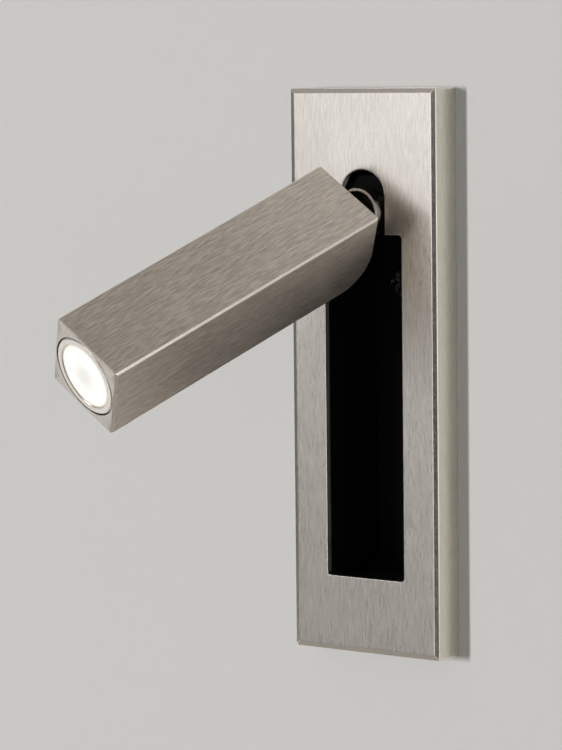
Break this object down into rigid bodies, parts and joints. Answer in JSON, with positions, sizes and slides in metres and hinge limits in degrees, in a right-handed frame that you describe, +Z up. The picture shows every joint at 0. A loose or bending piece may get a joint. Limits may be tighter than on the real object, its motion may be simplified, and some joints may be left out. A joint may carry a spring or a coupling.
{
  "type": "recessed wall reading lamp",
  "caption": "Recessed bedside reading lamp: a square spot arm tilts and swivels on a collar and folds flush into a black recess in an upright nickel wall plate.",
  "frame": {"origin": "centre of the faceplate's back, on the wall surface", "axes": "+X right, +Y into the wall, +Z up, as seen facing the lamp"},
  "size_m": [0.0697, 0.1467, 0.16],
  "materials": {
    "plate_nickel": "satin brushed nickel plate, grain upright",
    "arm_nickel": "satin brushed nickel, grain along the arm",
    "bright_nickel": "polished nickel",
    "steel": "zinc-plated steel",
    "dark_screw": "blackened steel",
    "brass": "turned brass",
    "galvanised": "galvanised sheet",
    "black_metal": "blackened zinc casting",
    "raw_aluminium": "turned aluminium",
    "black_moulding": "fine-grained black moulding",
    "black_plastic": "moulded",
    "white_plastic": "moulded",
    "red_plastic": "moulded",
    "grommet_rubber": "soft rubber",
    "lens": "clear lens, lit from behind",
    "diode": "phosphor disc",
    "metal_board": "white-masked metal-core board",
    "board_green": "glass-fibre board",
    "ferrite": "pressed ferrite",
    "coil_tape": "taped winding",
    "can_sleeve": "sleeved can",
    "film_yellow": "dipped film capacitor",
    "resistor_body": "lacquered",
    "lead_sheath": "insulated wire"
  },
  "bodies": {
    "wall_unit": {"faceplate": "plate_nickel", "back_box": "galvanised", "box_cover": "galvanised", "cover_screws": "steel", "cover_clips": "steel", "clip_rivets": "steel", "cable_grommet": "grommet_rubber", "pocket_liner": "black_moulding", "liner_screws": "steel", "hinge_bracket": "galvanised", "bracket_screws": "steel", "bracket_nuts": "steel", "flip_pin": "steel", "pin_clips": "steel", "knuckle_washers": "black_plastic", "switch_body": "black_plastic", "switch_screws": "steel", "driver_tray": "white_plastic", "tray_screws": "dark_screw", "driver_board": "board_green", "board_screws": "steel", "terminal_block": "white_plastic", "terminal_screws": "brass", "transformer_core": "ferrite", "transformer_coil": "coil_tape", "input_capacitor": "can_sleeve", "output_capacitor": "can_sleeve", "choke": "ferrite", "film_capacitor": "film_yellow", "bridge_rectifier": "black_plastic", "driver_chip": "black_plastic", "fuse_resistor": "resistor_body", "output_leads": "lead_sheath", "lead_grommet": "grommet_rubber"},
    "knuckle": {"knuckle": "black_metal", "stop_pin": "steel"},
    "collar": {"swivel_collar": "bright_nickel", "tilt_pin": "steel", "tilt_spacers": "black_plastic", "thrust_washer": "black_plastic", "stem_ring": "steel"},
    "arm": {"arm_shell": "arm_nickel", "bezel_ring": "bright_nickel", "lens": "lens", "lens_holder": "white_plastic", "led_chip": "diode", "led_board": "metal_board", "led_screws": "steel", "heat_sink": "raw_aluminium", "lamp_leads": "lead_sheath", "tilt_tongue": "bright_nickel", "tongue_nut": "brass"},
    "plunger": {"switch_plunger": "red_plastic"}
  },
  "joints": [
    {"name": "arm_fold", "type": "hinge", "parent": "wall_unit", "child": "knuckle", "pos_m": [0, -0.0028, 0.0502], "axis": [1, 0, 0], "range_deg": [0, 8]},
    {"name": "arm_swivel", "type": "hinge", "parent": "knuckle", "child": "collar", "pos_m": [0, -0.0113, 0.045], "axis": [0, 1, 0], "range_deg": [-200.4, 129.6]},
    {"name": "arm_tilt", "type": "hinge", "parent": "collar", "child": "arm", "pos_m": [0, -0.0113, 0.045], "axis": [-0.8151, 0, 0.5793], "range_deg": [-10, 45]},
    {"name": "switch_press", "type": "slide", "parent": "wall_unit", "child": "plunger", "axis": [0, 0, 1], "range_m": [0, 0.0008]}
  ],
  "couplings": [
    {"joint": "switch_press", "follows": "arm_fold", "m_per_rad": 0.0057}
  ]
}
